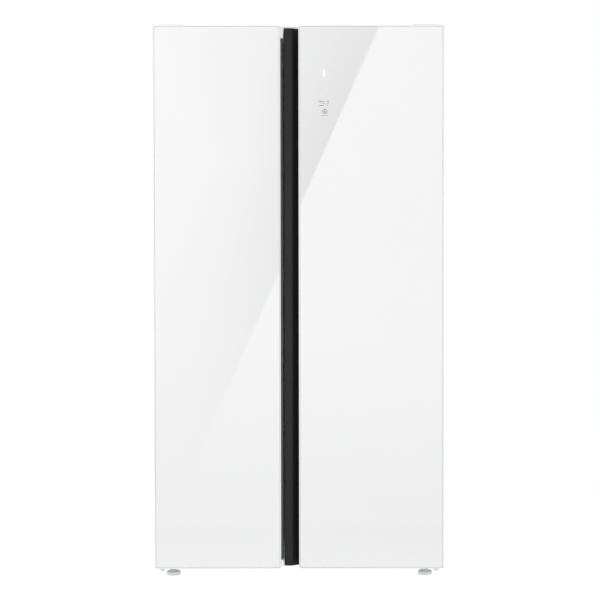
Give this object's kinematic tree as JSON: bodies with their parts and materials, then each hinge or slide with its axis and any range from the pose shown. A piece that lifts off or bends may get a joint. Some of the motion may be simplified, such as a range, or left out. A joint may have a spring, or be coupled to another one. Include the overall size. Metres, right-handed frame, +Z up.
{
  "type": "side by side refrigerator",
  "caption": "Side by side refrigerator with flush white glass doors, a dark finger channel between them, a touch display, glass shelves, drawers and door bins.",
  "frame": {"origin": "on the floor under the middle of the refrigerator", "axes": "+X to the right of someone facing the doors, +Y to the back, +Z up; the doors face -Y"},
  "size_m": [0.911, 0.706, 1.775],
  "materials": {
    "painted_steel": "satin white paint",
    "bare_steel": "galvanised",
    "foam": "rigid polyurethane foam, matt",
    "liner_white": "vacuum formed, soft gloss",
    "clear_plastic": "clear moulded",
    "clear_glass": "tempered clear",
    "white_glass": "back-painted white glass",
    "rim_metal": "fine satin, pale grey",
    "cap_white": "moulded, fine texture",
    "grip_dark": "dark charcoal, satin",
    "gasket": "soft vinyl, matt",
    "lamp_lens": "milky diffuser",
    "display_black": "smoked window",
    "fin_aluminium": "bare mill finish",
    "fan_plastic": "black moulded",
    "black_enamel": "black enamel",
    "copper": "bare copper, slightly dull",
    "tray_grey": "grey moulded",
    "cover_grey": "light grey moulded",
    "hinge_steel": "zinc-grey coat",
    "foot_grey": "pale grey moulded"
  },
  "bodies": {
    "cabinet": {"side_panel_left": "painted_steel", "side_panel_right": "painted_steel", "top_panel": "painted_steel", "base_panel": "bare_steel", "back_panel": "bare_steel", "cabinet_foam": "foam", "centre_mullion": "painted_steel", "freezer_liner": "liner_white", "fridge_liner": "liner_white", "freezer_duct_cover": "liner_white", "fridge_duct_cover": "liner_white", "ceiling_lamps": "lamp_lens", "evaporator": "fin_aluminium", "evaporator_fan_frame": "fan_plastic", "condenser_fan_frame": "fan_plastic", "compressor_deck": "bare_steel", "compressor": "black_enamel", "condenser": "black_enamel", "drip_tray": "tray_grey", "refrigerant_pipes": "copper", "machine_cover": "cover_grey", "control_box": "cover_grey", "top_hinges": "hinge_steel", "hinge_covers": "cap_white", "bottom_hinges": "hinge_steel", "freezer_shelf_1": "clear_glass", "fridge_shelf_1": "clear_glass", "freezer_shelf_2": "clear_glass", "fridge_shelf_2": "clear_glass", "freezer_shelf_3": "clear_glass", "fridge_shelf_3": "clear_glass", "freezer_shelf_4": "clear_glass", "fridge_shelf_4": "clear_glass"},
    "freezer_door": {"freezer_door_glass": "white_glass", "freezer_door_frame": "rim_metal", "freezer_door_caps": "cap_white", "freezer_door_grip": "grip_dark", "freezer_door_liner": "liner_white", "freezer_door_foam": "foam", "freezer_door_gasket": "gasket", "freezer_door_bins": "clear_plastic"},
    "fridge_door": {"fridge_door_glass": "white_glass", "fridge_door_frame": "rim_metal", "fridge_door_caps": "cap_white", "fridge_door_grip": "grip_dark", "fridge_door_liner": "liner_white", "fridge_door_foam": "foam", "fridge_door_gasket": "gasket", "fridge_door_bins": "clear_plastic", "touch_display": "display_black"},
    "evaporator_fan_blade": {"evaporator_fan_blade": "fan_plastic"},
    "condenser_fan_blade": {"condenser_fan_blade": "fan_plastic"},
    "foot_left": {"foot_left": "foot_grey"},
    "foot_right": {"foot_right": "foot_grey"},
    "roller_left": {"roller_left": "tray_grey"},
    "roller_right": {"roller_right": "tray_grey"},
    "freezer_drawer_lower": {"freezer_drawer_lower": "clear_plastic"},
    "freezer_drawer_upper": {"freezer_drawer_upper": "clear_plastic"},
    "crisper_lower": {"crisper_lower": "clear_plastic"},
    "crisper_upper": {"crisper_upper": "clear_plastic"}
  },
  "joints": [
    {"name": "freezer_door_hinge", "type": "hinge", "parent": "cabinet", "child": "freezer_door", "pos_m": [-0.4335, -0.321, 0.9], "axis": [0, 0, -1], "range_deg": [0, 130]},
    {"name": "fridge_door_hinge", "type": "hinge", "parent": "cabinet", "child": "fridge_door", "pos_m": [0.4335, -0.321, 0.9], "axis": [0, 0, 1], "range_deg": [0, 130]},
    {"name": "freezer_drawer_lower_slide", "type": "slide", "parent": "cabinet", "child": "freezer_drawer_lower", "axis": [0, -1, 0], "range_m": [0, 0.22]},
    {"name": "freezer_drawer_upper_slide", "type": "slide", "parent": "cabinet", "child": "freezer_drawer_upper", "axis": [0, -1, 0], "range_m": [0, 0.22]},
    {"name": "crisper_lower_slide", "type": "slide", "parent": "cabinet", "child": "crisper_lower", "axis": [0, -1, 0], "range_m": [0, 0.22]},
    {"name": "crisper_upper_slide", "type": "slide", "parent": "cabinet", "child": "crisper_upper", "axis": [0, -1, 0], "range_m": [0, 0.22]},
    {"name": "evaporator_fan_spin", "type": "hinge", "parent": "cabinet", "child": "evaporator_fan_blade", "pos_m": [-0.2345, 0.2175, 0.77], "axis": [0, 1, 0], "continuous": true},
    {"name": "condenser_fan_spin", "type": "hinge", "parent": "cabinet", "child": "condenser_fan_blade", "pos_m": [0.075, 0.25, 0.114], "axis": [1, 0, 0], "continuous": true},
    {"name": "foot_left_screw", "type": "slide", "parent": "cabinet", "child": "foot_left", "axis": [0, 0, -1], "range_m": [0, 0.015]},
    {"name": "roller_left_spin", "type": "hinge", "parent": "cabinet", "child": "roller_left", "pos_m": [-0.405, 0.3, 0.016], "axis": [1, 0, 0], "continuous": true},
    {"name": "foot_right_screw", "type": "slide", "parent": "cabinet", "child": "foot_right", "axis": [0, 0, -1], "range_m": [0, 0.015]},
    {"name": "roller_right_spin", "type": "hinge", "parent": "cabinet", "child": "roller_right", "pos_m": [0.405, 0.3, 0.016], "axis": [1, 0, 0], "continuous": true}
  ],
  "couplings": [
    {"joint": "freezer_drawer_lower_slide", "follows": "freezer_door_hinge", "m_per_rad": 0.09695},
    {"joint": "freezer_drawer_upper_slide", "follows": "freezer_door_hinge", "m_per_rad": 0.09695},
    {"joint": "crisper_lower_slide", "follows": "fridge_door_hinge", "m_per_rad": 0.09695},
    {"joint": "crisper_upper_slide", "follows": "fridge_door_hinge", "m_per_rad": 0.09695}
  ]
}
